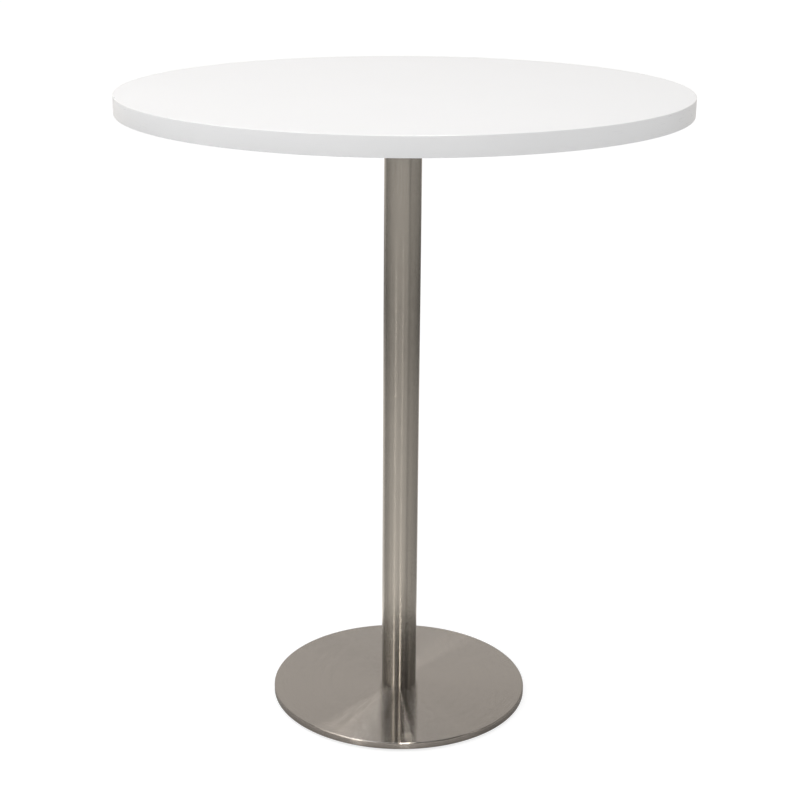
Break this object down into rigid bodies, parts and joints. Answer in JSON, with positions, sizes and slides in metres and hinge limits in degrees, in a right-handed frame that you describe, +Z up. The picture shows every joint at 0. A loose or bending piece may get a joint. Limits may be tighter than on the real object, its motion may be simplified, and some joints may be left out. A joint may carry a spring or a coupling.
{
  "type": "pub table",
  "caption": "Round white-topped pub table on a brushed stainless column and a flat round stainless base with screw-adjustable levelling feet.",
  "frame": {"origin": "on the floor under the middle of the table", "axes": "+Z up along the column's axis; the spider's arms and the feet lie on the diagonals between X and Y"},
  "size_m": [0.8999, 0.9, 1.05],
  "materials": {
    "white_laminate": "white decorative laminate with a faint satin pearl texture",
    "white_edging": "satin white ABS edge band",
    "particle_board": "raw particle board",
    "brushed_stainless": "brushed stainless steel, the fine brushing running round the column and in circles on the base",
    "black_casting": "black powder coat over cast iron",
    "painted_plate": "black primer over rolled steel plate",
    "turned_steel": "turned mild steel, lightly oiled",
    "zinc_plate": "bright zinc plate",
    "spring_steel": "dark spring steel",
    "dark_screw_steel": "black oxide",
    "black_nylon": "moulded black nylon"
  },
  "bodies": {
    "table": {"top_core": "particle_board", "upper_laminate": "white_laminate", "lower_laminate": "white_laminate", "edge_band": "white_edging", "thread_inserts": "zinc_plate", "spider_screws": "zinc_plate", "top_spider": "black_casting", "column_tube": "brushed_stainless", "tie_rod": "zinc_plate", "tie_washer": "zinc_plate", "lock_washer": "spring_steel", "tie_nut": "zinc_plate", "rod_lock_nut": "zinc_plate", "column_boss": "turned_steel", "boss_screws": "dark_screw_steel", "base_plate": "painted_plate", "base_cover": "brushed_stainless"},
    "glide_1": {"foot_glide_1": "black_nylon"},
    "stud_1": {"foot_stud_1": "zinc_plate"},
    "glide_2": {"foot_glide_2": "black_nylon"},
    "stud_2": {"foot_stud_2": "zinc_plate"},
    "glide_3": {"foot_glide_3": "black_nylon"},
    "stud_3": {"foot_stud_3": "zinc_plate"},
    "glide_4": {"foot_glide_4": "black_nylon"},
    "stud_4": {"foot_stud_4": "zinc_plate"}
  },
  "joints": [
    {"name": "foot_1_lift", "type": "slide", "parent": "table", "child": "glide_1", "axis": [0, 0, -1], "range_m": [0, 0.005]},
    {"name": "foot_1_screw", "type": "hinge", "parent": "glide_1", "child": "stud_1", "pos_m": [0.12869, 0.12869, 0], "axis": [0, 0, -1], "range_deg": [0, 1440]},
    {"name": "foot_2_lift", "type": "slide", "parent": "table", "child": "glide_2", "axis": [0, 0, -1], "range_m": [0, 0.005]},
    {"name": "foot_2_screw", "type": "hinge", "parent": "glide_2", "child": "stud_2", "pos_m": [-0.12869, 0.12869, 0], "axis": [0, 0, -1], "range_deg": [0, 1440]},
    {"name": "foot_3_lift", "type": "slide", "parent": "table", "child": "glide_3", "axis": [0, 0, -1], "range_m": [0, 0.005]},
    {"name": "foot_3_screw", "type": "hinge", "parent": "glide_3", "child": "stud_3", "pos_m": [-0.12869, -0.12869, 0], "axis": [0, 0, -1], "range_deg": [0, 1440]},
    {"name": "foot_4_lift", "type": "slide", "parent": "table", "child": "glide_4", "axis": [0, 0, -1], "range_m": [0, 0.005]},
    {"name": "foot_4_screw", "type": "hinge", "parent": "glide_4", "child": "stud_4", "pos_m": [0.12869, -0.12869, 0], "axis": [0, 0, -1], "range_deg": [0, 1440]}
  ],
  "couplings": [
    {"joint": "foot_1_screw", "follows": "foot_1_lift", "rad_per_m": 5026.5},
    {"joint": "foot_2_screw", "follows": "foot_2_lift", "rad_per_m": 5026.5},
    {"joint": "foot_3_screw", "follows": "foot_3_lift", "rad_per_m": 5026.5},
    {"joint": "foot_4_screw", "follows": "foot_4_lift", "rad_per_m": 5026.5}
  ]
}
